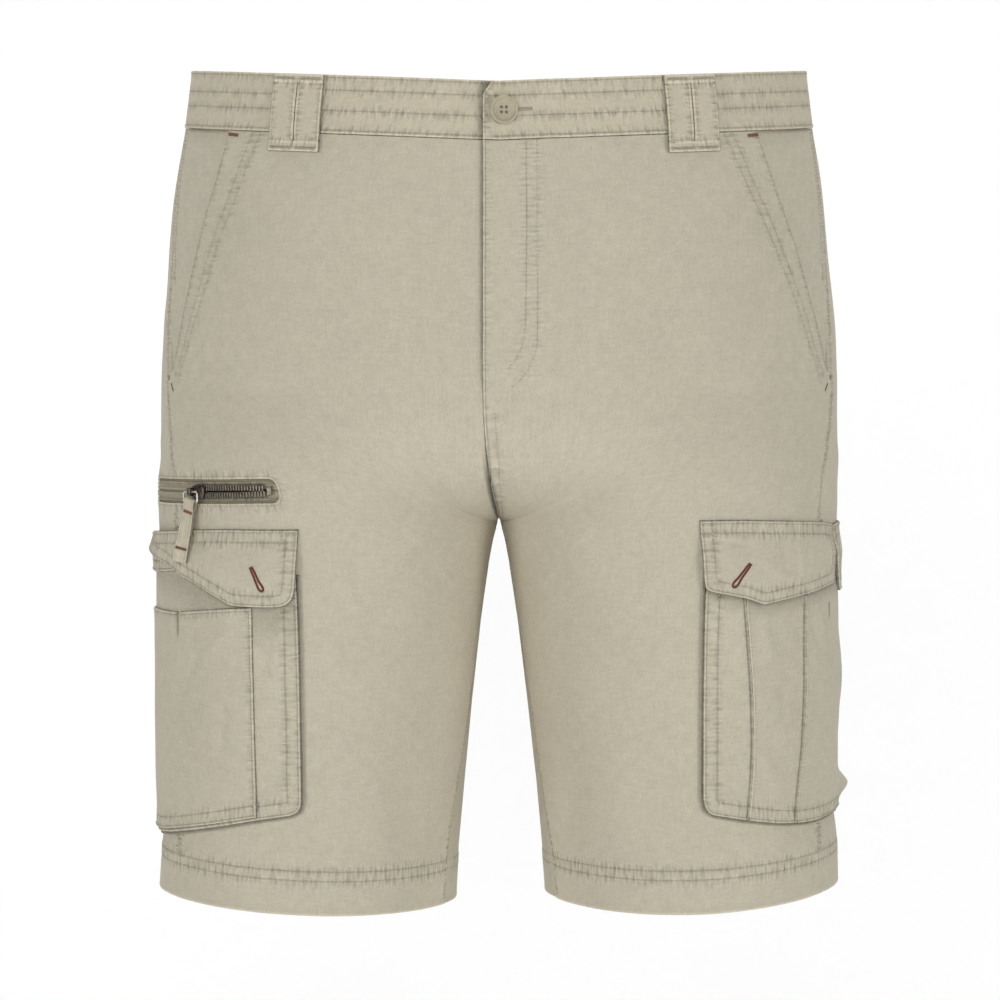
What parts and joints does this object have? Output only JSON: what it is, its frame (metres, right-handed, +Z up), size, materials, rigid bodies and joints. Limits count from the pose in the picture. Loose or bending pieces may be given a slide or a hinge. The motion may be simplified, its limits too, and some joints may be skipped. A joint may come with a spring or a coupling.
{
  "type": "cargo shorts",
  "caption": "Worn-shape canvas cargo shorts with waistband, belt loops, fly, slanted pockets, flapped cargo pockets and a zipped thigh pocket.",
  "frame": {"origin": "the middle of the waist ring, at half the waistband's height, where the wearer holds the garment", "axes": "+Z up out of the waist, -Y the front with the fly, +X the wearer's left"},
  "size_m": [0.4668, 0.3169, 0.5552],
  "materials": {
    "canvas": "washed cotton canvas, matt",
    "canvas_shade": "washed cotton canvas, doubled, matt",
    "tape": "woven zip tape, matt",
    "pull_cloth": "folded cotton tape, matt",
    "button": "satin resin",
    "gunmetal": "dark plated metal"
  },
  "bodies": {
    "shorts": {"waistband_left": "canvas_shade", "waistband_right": "canvas_shade", "front_left": "canvas", "front_right": "canvas", "back_left": "canvas", "back_right": "canvas", "hip_left": "canvas", "hip_right": "canvas", "belt_loop_left_front_a": "canvas_shade", "belt_loop_left_front_b": "canvas_shade", "belt_loop_right_front_a": "canvas_shade", "belt_loop_right_front_b": "canvas_shade", "belt_loop_left_back_a": "canvas_shade", "belt_loop_left_back_b": "canvas_shade", "belt_loop_right_back_a": "canvas_shade", "belt_loop_right_back_b": "canvas_shade", "belt_loop_centre_back_a": "canvas_shade", "belt_loop_centre_back_b": "canvas_shade", "cargo_gusset_left": "canvas_shade", "cargo_gusset_right": "canvas_shade", "cargo_pocket_left": "canvas", "cargo_pocket_right": "canvas", "phone_pocket": "canvas", "cargo_flap_left": "canvas", "cargo_flap_left_back": "canvas", "cargo_flap_right": "canvas", "cargo_flap_right_back": "canvas", "zip_tape": "tape", "zip_chain": "gunmetal", "zip_slider": "gunmetal", "waist_button": "button"},
    "zip_pull": {"pull_ring": "gunmetal", "pull_tab": "pull_cloth"}
  },
  "joints": [
    {"name": "pull_swing", "type": "hinge", "parent": "shorts", "child": "zip_pull", "pos_m": [-0.1998, -0.09741, -0.25728], "axis": [-0.6731, 0.7386, -0.0373], "range_deg": [0, 150]}
  ]
}
